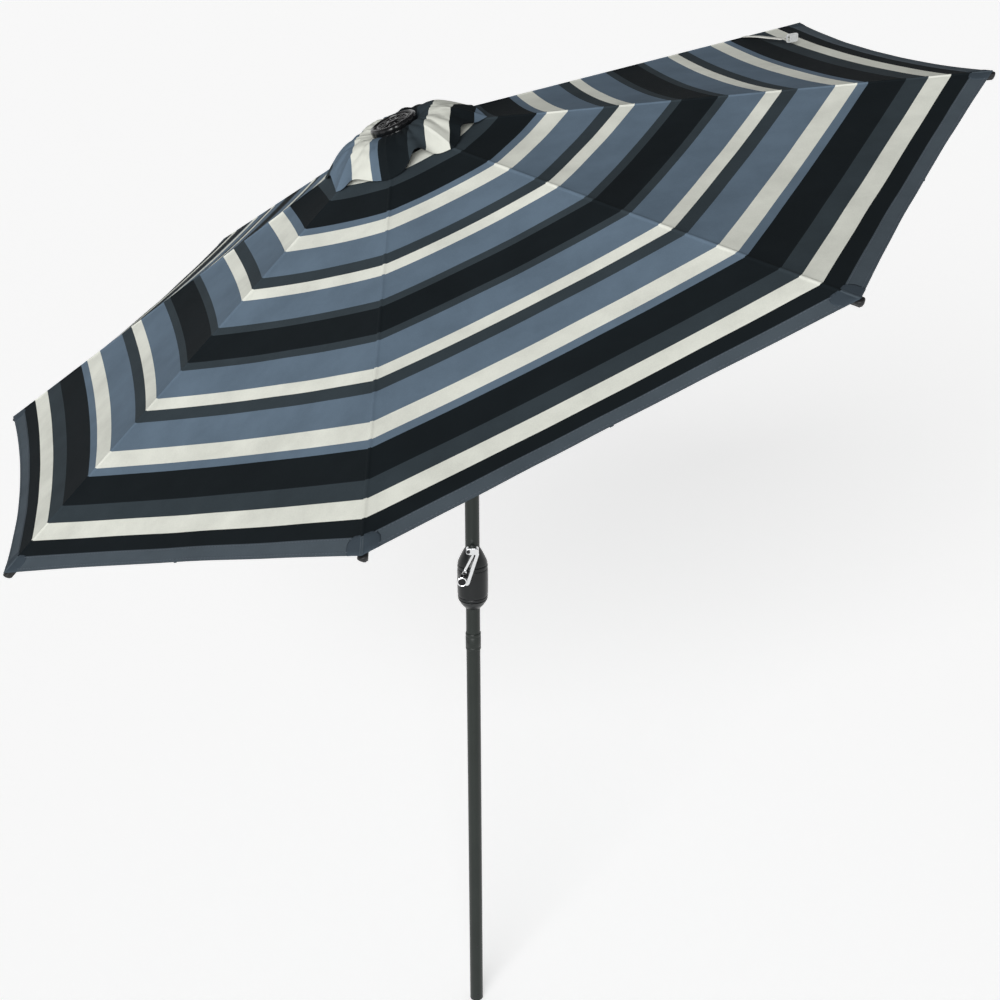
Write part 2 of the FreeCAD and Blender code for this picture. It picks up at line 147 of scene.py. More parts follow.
def cloth_material(name, color):
    """Woven canvas: a fine plain weave on the cloth's own map, with soft mottling and a matt sheen."""
    made, tree, shader = material(name, color, rough=0.9, specular=0.06)
    mapped = new(tree, "ShaderNodeUVMap")
    wide = new(tree, "ShaderNodeTexWave", Scale=160.0, Distortion=0.6, bands_direction="X")
    long = new(tree, "ShaderNodeTexWave", Scale=160.0, Distortion=0.6, bands_direction="Y")
    for wave in (wide, long):
        tree.links.new(mapped.outputs["UV"], wave.inputs["Vector"])
    weave = new(tree, "ShaderNodeMath", operation="MULTIPLY")
    tree.links.new(wide.outputs["Fac"], weave.inputs[0])
    tree.links.new(long.outputs["Fac"], weave.inputs[1])
    mottle = noise_of(tree, 9.0, 6.0, 0.6)
    fine = noise_of(tree, 420.0, 2.0, 0.5)
    mixed = new(tree, "ShaderNodeMath", operation="MULTIPLY_ADD")
    mixed.inputs[1].default_value = 0.35
    tree.links.new(fine, mixed.inputs[0])
    tree.links.new(mottle, mixed.inputs[2])
    drift = new(tree, "ShaderNodeMath", operation="MULTIPLY")
    drift.inputs[1].default_value = 0.85
    tree.links.new(mixed.outputs["Value"], drift.inputs[0])
    vary_color(tree, shader, drift.outputs["Value"], shade(color, 0.86), shade(color, 1.12))
    bump(tree, shader, weave.outputs["Value"], 0.35, 0.0004)
    return made


COLORS = {"black": (0.0075, 0.0105, 0.0125), "grey": (0.030, 0.040, 0.047), "blue": (0.100, 0.140, 0.185),
          "white": (0.62, 0.63, 0.57), "hem": (0.060, 0.076, 0.090)}
CLOTHS = {key: cloth_material("cloth_" + key, color) for key, color in COLORS.items()}
CLOTH_ORDER = list(CLOTHS)
# the vent canopy has the same stripes running straight across it, as (where one starts, its colour)
VENT_STRIPE_TURN, VENT_MAP_SHIFT = math.radians(337.5), 0.5
VENT_STRIPES = [(-0.40, "grey"), (-0.179, "blue"), (-0.099, "white"), (-0.050, "blue"),
                (-0.0265, "black"), (0.047, "grey"), (0.089, "white"), (0.137, "black"), (0.184, "blue")]


def vent_material():
    """The vent's cloth: the map's first value runs across the stripes and picks the colour."""
    made = cloth_material("cloth_vent", COLORS["grey"])
    tree = made.node_tree
    shader = tree.nodes["Principled BSDF"]
    mapped, split = new(tree, "ShaderNodeUVMap"), new(tree, "ShaderNodeSeparateXYZ")
    tree.links.new(mapped.outputs["UV"], split.inputs["Vector"])
    ramp = new(tree, "ShaderNodeValToRGB")
    ramp.color_ramp.interpolation = "CONSTANT"
    stops = ramp.color_ramp.elements
    stops.remove(stops[1])
    for n, (start, cloth) in enumerate(VENT_STRIPES):
        stop = stops.new(start + VENT_MAP_SHIFT) if n else stops[0]
        stop.color = (*COLORS[cloth], 1)
    tree.links.new(split.outputs["X"], ramp.inputs["Fac"])
    mix = new(tree, "ShaderNodeMix", data_type="RGBA", blend_type="MULTIPLY")
    mix.inputs["Factor"].default_value = 1.0
    shades = new(tree, "ShaderNodeValToRGB")
    shades.color_ramp.elements[0].color = (0.84, 0.84, 0.84, 1)
    shades.color_ramp.elements[1].color = (1, 1, 1, 1)
    tree.links.new(noise_of(tree, 30.0, 5.0, 0.6), shades.inputs["Fac"])
    tree.links.new(ramp.outputs["Color"], mix.inputs["A"])
    tree.links.new(shades.outputs["Color"], mix.inputs["B"])
    tree.links.new(mix.outputs["Result"], shader.inputs["Base Color"])
    return made


VENT = vent_material()


def painted(name, color, rough, coat, grain=260.0, specular=0.32):
    """Sprayed paint or powder coat, with orange peel and slightly uneven gloss."""
    made, tree, shader = material(name, color, rough=rough, coat=coat, specular=specular)
    peel = noise_of(tree, grain, 2.0)
    broad = noise_of(tree, 6.0, 4.0, 0.6)
    vary_rough(tree, shader, broad, rough * 0.75, rough * 1.3)
    vary_color(tree, shader, broad, shade(color, 0.85), shade(color, 1.18))
    bump(tree, shader, peel, 0.12, 0.0003)
    return made


PAINT = painted("pole_paint", (0.010, 0.0135, 0.0115), 0.34, 0.0)
FRAME_PAINT = painted("frame_paint", (0.014, 0.015, 0.016), 0.45, 0.0, 500.0)
HOUSING = painted("housing_plastic", (0.006, 0.007, 0.0075), 0.27, 0.0, 700.0)
BLACK = painted("moulded_black", (0.008, 0.0085, 0.009), 0.5, 0.0, 900.0)
GLOSS = painted("gloss_black", (0.005, 0.0055, 0.006), 0.2, 0.0, 350.0)


def metal(name, color, rough, scratch=0.0):
    made, tree, shader = material(name, color, rough=rough, metal=1.0)
    streaks = noise_of(tree, 60.0, 5.0, 0.6, stretch=(1.0, 1.0, 8.0))
    vary_rough(tree, shader, streaks, rough * 0.7, rough * 1.6)
    bump(tree, shader, streaks, 0.05 + scratch, 0.0002)
    return made


CHROME = metal("chrome", (0.78, 0.79, 0.80), 0.12)
STEEL = metal("plated_steel", (0.46, 0.46, 0.47), 0.34, 0.05)
WEBBING = cloth_material("strap_webbing", (0.62, 0.62, 0.58))
BUCKLE = painted("buckle_grey", (0.42, 0.43, 0.43), 0.4, 0.1, 800.0)
THREAD = cloth_material("seam_thread", (0.085, 0.10, 0.12))
POCKET = cloth_material("cloth_pocket", (0.040, 0.053, 0.066))


# ---------------------------------------------------------------- mesh helpers
def piece(name, verts, faces, mats, body, picks=None, smooth=True, uvs=None):
    """A mesh piece that rides on a body, or on none. picks gives face materials and uvs gives map points."""
    mesh = bpy.data.meshes.new(name)
    mesh.from_pydata([tuple(v) for v in verts], [], faces)
    made = bpy.data.objects.new(name, mesh)
    COLLECTION.objects.link(made)
    for one in mats:
        mesh.materials.append(one)
    if picks:
        mesh.polygons.foreach_set("material_index", picks)
    if uvs:
        layer = mesh.uv_layers.new(name="UVMap")
        for loop in mesh.loops:
            layer.data[loop.index].uv = uvs[loop.vertex_index]
    if smooth:
        mesh.polygons.foreach_set("use_smooth", [True] * len(mesh.polygons))
    mesh.validate()
    mesh.update()
    if body:
        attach(made, body)
    return made


def solidify(thing, thickness, offset=-1.0):
    made = thing.modifiers.new("thickness", "SOLIDIFY")
    made.thickness, made.offset = thickness, offset
    return made


def bevel(thing, width, segments=2):
    made = thing.modifiers.new("bevel", "BEVEL")
    made.width, made.segments = width, segments
    made.limit_method, made.angle_limit = "ANGLE", math.radians(30)
    return made


def by_angle(thing, degrees=35):
    """Smooth shading that keeps edges sharper than an angle."""
    mesh = thing.data
    bm = bmesh.new()
    bm.from_mesh(mesh)
    for edge in bm.edges:
        if len(edge.link_faces) == 2 and edge.calc_face_angle(0) > math.radians(degrees):
            edge.smooth = False
    bm.to_mesh(mesh)
    bm.free()
    return thing


ALONG_X = Matrix.Rotation(math.radians(90), 4, "Y")


def lathe(name, profile, place, body, mat, steps=72, ripple=None, close=True):
    """Turns (radius, height) points about the placement's Z. ripple(angle, n) moves a ring's height."""
    verts, faces = [], []
    rings = []
    for n, (radius, height) in enumerate(profile):
        if radius < 1e-6:
            rings.append([len(verts)])
            verts.append(place @ Vector((0, 0, height)))
            continue
        ring = []
        for k in range(steps):
            turn = 2 * math.pi * k / steps
            lift, push = ripple(turn, n) if ripple else (0, 0)
            ring.append(len(verts))
            out = radius + push
            verts.append(place @ Vector((out * math.cos(turn), out * math.sin(turn), height + lift)))
        rings.append(ring)
    for a, b in zip(rings, rings[1:]):
        for k in range(steps):
            m = (k + 1) % steps
            if len(a) == 1 and len(b) > 1:
                faces.append((a[0], b[m], b[k]))
            elif len(b) == 1 and len(a) > 1:
                faces.append((a[k], a[m], b[0]))
            elif len(a) > 1:
                faces.append((a[k], a[m], b[m], b[k]))
    if close and len(rings[0]) > 1 and len(rings[-1]) > 1:
        a, b = rings[-1], rings[0]
        faces += [(a[k], a[(k + 1) % steps], b[(k + 1) % steps], b[k]) for k in range(steps)]
    return by_angle(piece(name, verts, faces, [mat], body))


def smooth_profile(points, per=5):
    """A Catmull-Rom curve through profile points."""
    out = []
    for n in range(len(points) - 1):
        p0, p1 = points[max(n - 1, 0)], points[n]
        p2, p3 = points[n + 1], points[min(n + 2, len(points) - 1)]
        for k in range(per):
            t = k / per
            out.append(tuple(0.5 * (2 * b + (c - a) * t + (2 * a - 5 * b + 4 * c - d) * t * t
                                    + (3 * b - a - 3 * c + d) * t ** 3)
                             for a, b, c, d in zip(p0, p1, p2, p3)))
    return out + [points[-1]]


def prism(name, outline, low, high, place, body, mat, round_by=0.0):
    """An outline in the placement's YZ plane, run from x = low to x = high, with rounded edges."""
    count = len(outline)
    verts = [place @ Vector((x, y, z)) for x in (low, high) for y, z in outline]
    faces = [tuple(range(count))[::-1], tuple(range(count, 2 * count))]
    faces += [(k, (k + 1) % count, count + (k + 1) % count, count + k) for k in range(count)]
    made = piece(name, verts, faces, [mat], body, smooth=True)
    bm = bmesh.new()
    bm.from_mesh(made.data)
    bmesh.ops.recalc_face_normals(bm, faces=bm.faces)
    bm.to_mesh(made.data)
    bm.free()
    by_angle(made, 30)
    if round_by:
        bevel(made, round_by)
    return made


# ---------------------------------------------------------------- canopy
# the cloth is woven in stripes of four repeated widths, from the hem inwards, as (colour, width across)
WIDE, BROAD, MEDIUM, NARROW = 0.0795, 0.0468, 0.0343, 0.0227
HEM_BAND, HEM_BLACK, INNER_BLACK = 0.0417, 0.0427, 0.0874
WOVEN = [("hem", HEM_BAND), ("black", HEM_BLACK), ("white", BROAD), ("grey", BROAD), ("black", WIDE),
         ("blue", NARROW), ("white", BROAD), ("blue", WIDE), ("grey", MEDIUM), ("white", MEDIUM),
         ("blue", WIDE), ("grey", NARROW), ("black", WIDE), ("grey", NARROW), ("blue", WIDE),
         ("white", MEDIUM), ("grey", MEDIUM), ("blue", WIDE), ("white", BROAD), ("blue", NARROW),
         ("black", INNER_BLACK), ("grey", BROAD), ("white", BROAD)]
ROW_STEP = 0.026
SAG, BOW, HEM_BOW = 0.011, 0.010, 0.012
SEAM_HALF, SEAM_HIGH, TAPE_HALF = 0.0032, 0.0016, 0.004
SEAM_BAND, COLUMN_RADIUS = 0.009, 0.45
COLUMN_CHORD = 2 * COLUMN_RADIUS * math.sin(HALF)


def rib_point(n, radius):
    return Vector((radius * math.cos(azimuth(n)), radius * math.sin(azimuth(n)), APEX - DROP * radius))


def middle(n, side):
    turn = azimuth(n) + side * HALF
    return Vector((math.cos(turn), math.sin(turn), 0))


def cloth_point(n, side, radius, w):
    """A point of the main cloth: w runs from 0 at rib n to 0.5 at the gore's middle on that side."""
    a, b = rib_point(n, radius), rib_point(n + side, radius)
    p = a.lerp(b, w)
    hump = 4 * w * (1 - w)
    out = middle(n, side)
    share = radius / RADIUS
    near_hem = max(0.0, (radius - 1.16) / 0.14)
    p -= out * hump * (BOW * share + HEM_BOW * near_hem ** 2)
    p.z -= SAG * hump * math.sin(math.pi * min(1.0, share * 0.62))
    # slack ripples, strongest near the vent and the hem, and small puckers along the seam
    amount = hump * (0.0011 + 0.0022 * max(0.0, 1 - (radius - VENT_HOLE) / 0.25) + 0.0016 * near_hem)
    p.z += amount * noise.noise(Vector((p.x * 7, p.y * 7, 3.0)))
    lateral = w * (a - b).length
    pucker = noise.noise(Vector((radius * 55, n * 3.1 + side, 0.0)))
    p.z += 0.0006 * math.exp(-((lateral - 0.014) / 0.012) ** 2) * pucker
    p.z += SEAM_HIGH * max(0.0, min(1.0, (SEAM_HALF + 0.0012 - lateral) / 0.0012))
    return p


def radial_rows():
    """The radii of the cloth's rows from the vent hole to the hem, and the colour of the band after each."""
    bands, outer = [], RADIUS
    for color, wide in WOVEN:
        bands.append((outer - wide, outer, color))
        outer -= wide
    bands.append((VENT_HOLE, outer, "black"))
    rows, colors = [], []
    for low, high, color in reversed(bands):
        steps = math.ceil((high - low) / ROW_STEP)
        for k in range(steps):
            rows.append(low + (high - low) * k / steps)
            colors.append(color)
    return rows + [RADIUS], colors


def kite_columns(radius, count, near=(0.0, SEAM_HALF, SEAM_HALF + 0.0012, SEAM_BAND)):
    """(side, w) across one kite, from the middle of one gore to the middle of the next."""
    chord = 2 * radius * math.sin(HALF)
    close = [min(lateral / chord, 0.45) for lateral in near]
    last = close[-1]
    half = close[1:] + [last + (0.5 - last) * k / count for k in range(1, count + 1)]
    return [(-1, w) for w in reversed(half)] + [(1, 0.0)] + [(1, w) for w in half]


def grid(points, colors=None):
    """Vertices, faces and face materials for rows of points."""
    rows, cols = len(points), len(points[0])
    verts = [p for row in points for p in row]
    faces, picks = [], []
    for r in range(rows - 1):
        for c in range(cols - 1):
            k = r * cols + c
            faces.append((k, k + cols, k + cols + 1, k + 1))
            picks.append(colors(r, c) if colors else 0)
    return verts, faces, picks


def shell(name, point, columns, rows, thickness, body, mats, pick, uv):
    """A thin cloth from point(side, w, row). Its normals come from the surface, so neighbours shade as one.
    The first and last columns lie past its edges and are used for the normals only."""
    points = [[MAST @ point(side, w, row) for side, w in columns] for row in rows]
    count, deep = len(columns) - 2, len(rows)
    verts, normals, uvs = [], [], []
    for r, line in enumerate(points):
        above, below = points[max(r - 1, 0)], points[min(r + 1, deep - 1)]
        for c in range(1, count + 1):
            normals.append((below[c] - above[c]).cross(line[c + 1] - line[c - 1]).normalized())
            verts.append(line[c])
            uvs.append(uv(*columns[c], rows[r], line[c]))
    total = len(verts)
    verts += [v - n * thickness for v, n in zip(verts, normals)]
    normals += [-n for n in normals]
    faces, picks = [], []
    for r in range(deep - 1):
        for c in range(count - 1):
            k = r * count + c
            face = (k, k + count, k + count + 1, k + 1)
            faces += [face, tuple(total + m for m in reversed(face))]
            picks += [pick(r, c)] * 2
    for r in (0, deep - 1):
        for c in range(count - 1):
            k = r * count + c
            ring = (k, k + 1, total + k + 1, total + k)
            faces.append(ring if r == 0 else ring[::-1])
            picks.append(pick(min(r, deep - 2), c))
    for c in (0, count - 1):
        for r in range(deep - 1):
            k = r * count + c
            ring = (k, total + k, total + k + count, k + count)
            faces.append(ring if c == 0 else ring[::-1])
            picks.append(pick(r, min(c, count - 2)))
    made = piece(name, verts, faces, mats, body, picks, uvs=uvs + uvs)
    made.data.normals_split_custom_set_from_vertices([tuple(n) for n in normals])
    return made


def squash_kite(thing):
    """Gives the cloth piece its own copy of its mesh."""
    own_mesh(thing)


def main_kite(n):
    rows, colors = radial_rows()
    columns = [(-1, 0.51)] + kite_columns(COLUMN_RADIUS, 13) + [(1, 0.51)]

    def point(side, w, radius):
        return cloth_point(n, side, radius, seam_w(w, radius))

    def color_of(r, c):
        return CLOTH_ORDER.index(colors[r])

    def flat_map(side, w, radius, p):
        return (side * w * 2 * radius * math.sin(HALF), radius)
    return shell("canopy_cloth_%d" % n, point, columns, rows, CLOTH, "rib_%d" % n, list(CLOTHS.values()),
                 color_of, flat_map)


def seam_w(w, radius):
    """Keeps the columns beside the seam at the same distance from the rib all the way out."""
    near = SEAM_BAND / COLUMN_CHORD
    chord = 2 * radius * math.sin(HALF)
    if w <= near:
        return w * COLUMN_CHORD / chord
    start = min(SEAM_BAND / chord, 0.4)
    return start + (0.5 - start) * (w - near) / (0.5 - near)


# where the vent's hem stands off the main cloth: (azimuth, width before, width after, height)
VENT_LIFTS = [(217, 7, 13, 0.016), (271, 9, 7, 0.034), (313, 8, 12, 0.022), (355, 12, 12, 0.024),
              (42, 13, 11, 0.026), (92, 9, 14, 0.024), (136, 12, 10, 0.020), (176, 10, 9, 0.020)]


def vent_point(n, side, share, w):
    """The vent's small upper canopy: domed, tied down at the ribs, with its hem lifted between them."""
    def rib_line(m):
        radius = VENT_IN + (VENT_HEM - VENT_IN) * share
        turn = azimuth(m)
        fall = VENT_TOP - (VENT_TOP - (APEX + 0.0038 - DROP * VENT_HEM)) * share
        return Vector((radius * math.cos(turn), radius * math.sin(turn), fall))
    p = rib_line(n).lerp(rib_line(n + side), w)
    hump = max(0.0, 4 * w * (1 - w))
    turn = math.degrees(math.atan2(p.y, p.x))
    p.z += (0.034 - 0.006 * hump) * math.sin(math.pi * min(1.0, share) ** 0.85)
    lift = 0.0
    for centre, before, after, height in VENT_LIFTS:
        off = (turn - centre + 180) % 360 - 180
        lift += height * math.exp(-(off / (before if off < 0 else after)) ** 2)
    p.z += lift * min(1.0, hump * 2.2) * share ** 3
    p -= middle(n, side) * (0.006 * hump + 0.25 * lift * hump) * share ** 2
    # creases: soft ridges that run from the finial, and crumples across them
    ridge = abs(noise.noise(Vector((turn / 14.0, share * 1.5, 2.0))))
    crease = ridge + 0.6 * abs(noise.noise(Vector((p.x * 30, p.y * 30, 7.0))))
    p.z += 0.010 * crease * math.sin(math.pi * min(1.0, share) ** 0.8) * (0.4 + 0.6 * hump)
    return p


def vent_half(n, side):
    """The vent's cloth from rib n to the gore's middle on one side. It is baked in place and rides on no body.
    """
    both = kite_columns(VENT_HEM, 22, near=(0.0, 0.002, 0.004, 0.008))
    half = [(side, w) for _, w in both[len(both) // 2:]]
    columns = [(-side, 0.01)] + half + [(side, 0.51)]
    c, s = math.cos(VENT_STRIPE_TURN), math.sin(VENT_STRIPE_TURN)

    def across(_, w, share, p):
        flat = MAST_BACK @ p
        return (flat.x * c + flat.y * s + VENT_MAP_SHIFT, flat.y * c - flat.x * s)
    name = "vent_cloth_%d%s" % (n, "b" if side > 0 else "a")
    made = shell(name, lambda way, w, share: vent_point(n, way, share, w),
                 columns[::side], [k / 26 for k in range(27)], CLOTH, None, [VENT], lambda r, c: 0, across)
    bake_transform(made)
    return made


def gore_tape(n):
    """The narrow tape under the middle of the gore, on the side after rib n, in the cloth's own colours."""
    rows, colors = radial_rows()
    lines = []
    for radius in rows:
        chord = 2 * radius * math.sin(HALF)
        lines.append([MAST @ (cloth_point(n, 1, radius, 0.5 + off / chord) - Vector((0, 0, CLOTH + 0.0012)))
                      for off in (-TAPE_HALF, 0.0, TAPE_HALF)])
    verts, faces, picks = grid(lines, lambda r, c: CLOTH_ORDER.index(colors[r]))
    made = piece("gore_tape_%d" % n, verts, faces, list(CLOTHS.values()), "rib_%d" % n, picks,
                 uvs=[(v.x, v.y) for v in verts])
    solidify(made, 0.0005)
    return made


# the pocket's outline, as (radius, half width, height off the cloth)
POCKET_SECTIONS = [(1.2535, 0.0060, 0.0006), (1.2560, 0.0210, 0.0011), (1.2630, 0.0305, 0.0013),
                   (1.2750, 0.0370, 0.0014), (1.2880, 0.0385, 0.0015), (1.2990, 0.0370, 0.0015),
                   (1.3012, 0.0350, 0.0004)]
# the rib's end, as (distance along it, share of full size, rise of its middle)
NUB_RINGS = [(-0.0165, 0.80, 0.0), (-0.0150, 0.95, 0.0), (-0.0120, 1.0, 0.0), (0.0006, 1.0, 0.0),
             (0.0028, 0.90, 0.0006), (0.0050, 0.70, 0.0020), (0.0064, 0.46, 0.0034),
             (0.0070, 0.20, 0.0044)]


def tip_pocket(n):
    """The flat reinforcing patch sewn over each corner of the hem."""
    sections = []
    for radius, wide, high in POCKET_SECTIONS:
        line = []
        for k in range(-9, 10):
            lateral = wide * k / 9
            side = 1 if k >= 0 else -1
            p = cloth_point(n, side, radius, abs(lateral) / (2 * radius * math.sin(HALF)))
            p.z += high * (1 - 0.6 * abs(k / 9) ** 4) - (0.0012 if abs(lateral) < SEAM_HALF + 0.0012 else 0)
            line.append(MAST @ p)
        sections.append(line)
    verts, faces, picks = grid(sections)
    made = piece("tip_pocket_%d" % n, verts, faces, [POCKET], "rib_%d" % n, picks,
                 uvs=[(v.x, v.y) for v in verts])
    solidify(made, 0.0010)
    return made


def rib_nub(n):
    """The rib's moulded black end: wide under the cloth, narrow below, rounded at the end."""
    end = (RIB_END - RIB_PIVOT_R) / math.cos(math.radians(PITCH))
    level = APEX - RIB_PIVOT_R * DROP - RIB_DROP / math.cos(math.radians(PITCH))
    place = (MAST @ Matrix.Rotation(azimuth(n), 4, "Z") @ Matrix.Translation((RIB_PIVOT_R, 0, level))
             @ Matrix.Rotation(math.radians(PITCH), 4, "Y") @ Matrix.Translation((end, 0, 0)))
    verts, faces, steps = [], [], 28
    for x, size, rise in NUB_RINGS:
        for k in range(steps):
            turn = 2 * math.pi * k / steps
            c, s = math.cos(turn), math.sin(turn)
            c, s = math.copysign(abs(c) ** 0.8, c), math.copysign(abs(s) ** 0.8, s)
            wide = 0.0090 + 0.0046 * s
            verts.append(place @ Vector((x, size * wide * c, 0.0002 + rise + size * 0.0086 * s)))
    last = (len(NUB_RINGS) - 1) * steps
    for r in range(0, last, steps):
        for k in range(steps):
            m = (k + 1) % steps
            faces.append((r + k, r + m, r + steps + m, r + steps + k))
    faces += [tuple(range(steps))[::-1], tuple(range(last, last + steps))]
    nub = by_angle(piece("rib_nub_%d" % n, verts, faces, [BLACK], "rib_%d" % n), 50)
    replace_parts(nub, "rib_tip_%d" % n)
    return nub


def stitches(n):
    """Two rows of thread along the hem band on each side of the rib, as short raised dashes."""
    verts, faces, half = [], [], 0.0006
    for line_radius in (1.2625, 1.2935):
        for side in (-1, 1):
            chord = 2 * line_radius * math.sin(HALF)
            count = 58
            for k in range(3, count):
                w0, w1 = 0.5 * k / count, 0.5 * (k + 0.62) / count
                base = len(verts)
                for w, off in ((w0, -half), (w1, -half), (w1, half), (w0, half)):
                    p = cloth_point(n, side, line_radius + off, w)
                    p.z += 0.0007
                    verts.append(MAST @ p)
                dash = (base, base + 1, base + 2, base + 3)
                faces.append(dash if side > 0 else dash[::-1])
    made = piece("hem_stitches_%d" % n, verts, faces, [THREAD], "rib_%d" % n, smooth=False)
    solidify(made, 0.0006, 0.0)
    return made


GORE_TILT = math.atan(DROP / math.cos(HALF))
for n in range(1, 9):
    cloth, pocket, sewn, tape = main_kite(n), tip_pocket(n), stitches(n), gore_tape(n)
    rib_nub(n)
    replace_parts(cloth, "canopy_panel_%d" % n)
    for thing in (cloth, sewn, tape):
        squash_kite(thing)
    for side in (-1, 1):
        vent_half(n, side)

# ---------------------------------------------------------------- finial
FINIAL_PLACE = MAST @ Matrix.Translation((0, 0, FINIAL_LOW))


def finial_cells(turn, n):
    """Shallow scallops round the wall."""
    return (0.0, -0.0011 * (0.5 + 0.5 * math.cos(18 * turn)) ** 2 if 4 <= n <= 8 else 0.0)


DISC = [(0.0, 0.0), (0.050, 0.0), (0.0550, 0.0012), (0.0578, 0.0042), (FINIAL_R, 0.0075),
        (0.0572, 0.0088), (0.0572, 0.0108), (FINIAL_R, 0.0122), (FINIAL_R, 0.0178), (0.0570, 0.0212),
        (0.0545, 0.0238), (0.0515, 0.0248), (0.0492, 0.0243), (0.0478, 0.0226), (0.0470, 0.0196),
        (0.0455, 0.0186), (0.0200, 0.0192), (0.0, 0.0194)]
INNER_RING = [(0.0405, 0.0185), (0.0408, 0.0212), (0.0395, 0.0224), (0.0375, 0.0224), (0.0362, 0.0212),
              (0.0362, 0.0185)]
BOSS = [(0.0165, 0.0185), (0.0162, 0.0222), (0.0140, 0.0240), (0.0085, 0.0246), (0.0072, 0.0236),
        (0.0, 0.0234)]
lathe("finial_disc", DISC, FINIAL_PLACE, "mast", GLOSS, 144, finial_cells)
lathe("finial_inner_ring", INNER_RING, FINIAL_PLACE, "mast", GLOSS, steps=96)
lathe("finial_boss", BOSS, FINIAL_PLACE, "mast", GLOSS, steps=48)
verts, faces = [], []
for k in range(12):
    turn = 2 * math.pi * k / 12
    along = Vector((math.cos(turn), math.sin(turn), 0))
    across = Vector((-along.y, along.x, 0))
    base = len(verts)
    for r, wide, high in ((0.0150, 0.0016, 0.0226), (0.0478, 0.0027, 0.0216)):
        for lateral, z in ((-wide, 0.0185), (-wide * 0.55, high), (wide * 0.55, high), (wide, 0.0185)):
            verts.append(FINIAL_PLACE @ (along * r + across * lateral + Vector((0, 0, z))))
    faces += [(base + i, base + 4 + i, base + 5 + i, base + 1 + i) for i in range(3)]
piece("finial_spokes", verts, faces, [GLOSS], "mast", smooth=False)
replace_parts(bpy.data.objects["finial_disc"], "finial")

# ---------------------------------------------------------------- crank housing
LOW, HIGH, HOUSING_BORE = 1.311, 1.484, 0.01912
# the housing's outline, as (radius, share of its height)
shape = [(0.0202, 0.0), (0.0222, 0.012), (0.0270, 0.045), (0.0325, 0.085), (0.0372, 0.135),
         (0.0392, 0.158), (0.0374, 0.168), (0.0395, 0.178), (0.0399, 0.212), (0.0381, 0.223),
         (0.0401, 0.234), (0.0404, 0.33), (0.0406, 0.45), (0.0405, 0.58), (0.0401, 0.668),
         (0.0381, 0.679), (0.0399, 0.690), (0.0396, 0.735), (0.0373, 0.747), (0.0391, 0.757),
         (0.0374, 0.80), (0.0330, 0.86), (0.0275, 0.93), (0.0232, 0.975), (0.0205, 1.0)]
profile = smooth_profile([(r, LOW + share * (HIGH - LOW)) for r, share in shape], 3)
closed = [(HOUSING_BORE, LOW)] + profile + [(HOUSING_BORE, HIGH)]
housing = lathe("crank_housing", closed, Matrix.Identity(4), "pole", HOUSING)
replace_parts(housing, "housing_front", "housing_rear")
for side in (-1, 1):  # the line where the two shells meet, as a fine raised lip
    verts, faces = [], []
    for k, (r, z) in enumerate(profile):
        for off, out in ((-0.0005, 0.0002), (0.0, 0.0006), (0.0005, 0.0002)):
            verts.append(Matrix.Rotation(math.radians(CRANK_AZ), 4, "Z") @ Vector((off, side * (r + out), z)))
        if k:
            a = 3 * (k - 1)
            faces += [(a, a + 1, a + 4, a + 3), (a + 1, a + 2, a + 5, a + 4)]
    piece("housing_seam_%s" % ("a" if side < 0 else "b"), verts, faces, [HOUSING], "pole")

# ---------------------------------------------------------------- crank arm and knob, in the crank's frame
X0, X1 = 0.0435, 0.0475
KNOB_SPOT = (-0.028, -0.075)


def oval(cy, cz, wide, high, steps=28, power=0.62):
    """A rounded rectangle's outline."""
    out = []
    for k in range(steps):
        t = 2 * math.pi * k / steps
        c, s = math.cos(t), math.sin(t)
        y, z = math.copysign(abs(c) ** power, c), math.copysign(abs(s) ** power, s)
        out.append((cy + wide * y, cz + high * z))
    return out


def bar(name, outline, low, high, round_by=0.0010):
    return prism(name, outline, low, high, CRANK, "crank", CHROME, round_by)


def on_arm(y, z, x):
    return CRANK @ Matrix.Translation((x, y, z)) @ ALONG_X


def on_crank(name, profile, spot, steps, mat=CHROME):
    return lathe(name, profile, on_arm(*spot), "crank", mat, steps)


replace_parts(bar("crank_hub_plate", oval(0, 0, 0.0168, 0.0098), 0.0305, X1 + 0.001, 0.0016), "crank_arm")
RAIL_WIDE = [(0.0166, -0.001), (0.0170, -0.009), (-0.0085, -0.0935), (-0.0125, -0.0985), (-0.0185, -0.0985),
             (-0.0200, -0.0940), (-0.0165, -0.0850), (0.0076, -0.0120), (0.0060, -0.004)]
RAIL_THIN = [(0.0035, -0.0060), (0.0040, -0.0120), (-0.0243, -0.0705), (-0.0290, -0.0700), (-0.0292, -0.0655),
             (-0.0010, -0.0080)]
RAIL_FOOT = [(-0.0148, -0.0885), (-0.0185, -0.0985), (-0.0235, -0.0950), (-0.0355, -0.0800), (-0.0310, -0.0745),
             (-0.0235, -0.0760)]
bar("crank_rail_wide", RAIL_WIDE, X0, X1)
bar("crank_rail_thin", RAIL_THIN, X0, X1)
bar("crank_rail_foot", RAIL_FOOT, X0, X1 - 0.0002)
SCREW_AT = (-0.0110, 0.0005, X1 + 0.0008)
SCREW = [(0.0, 0.0), (0.0046, 0.0), (0.0046, 0.0012), (0.0038, 0.0021), (0.0, 0.0024)]
SCREW_RING = [(0.0046, -0.0002), (0.0060, -0.0002), (0.0060, 0.0010), (0.0052, 0.0018), (0.0046, 0.0010)]
SPINDLE = [(0.0, -0.020), (0.006, -0.020), (0.006, 0.0), (0.0, 0.0)]
STUD = [(0.0, 0.0), (0.0048, 0.0), (0.0050, 0.0008), (0.0050, 0.0050), (0.0040, 0.0062), (0.0, 0.0065)]
KNOB_BOSS = [(0.0, -0.0045), (0.0086, -0.0045), (0.0090, -0.0038), (0.0090, -0.0006), (0.0, 0.0)]
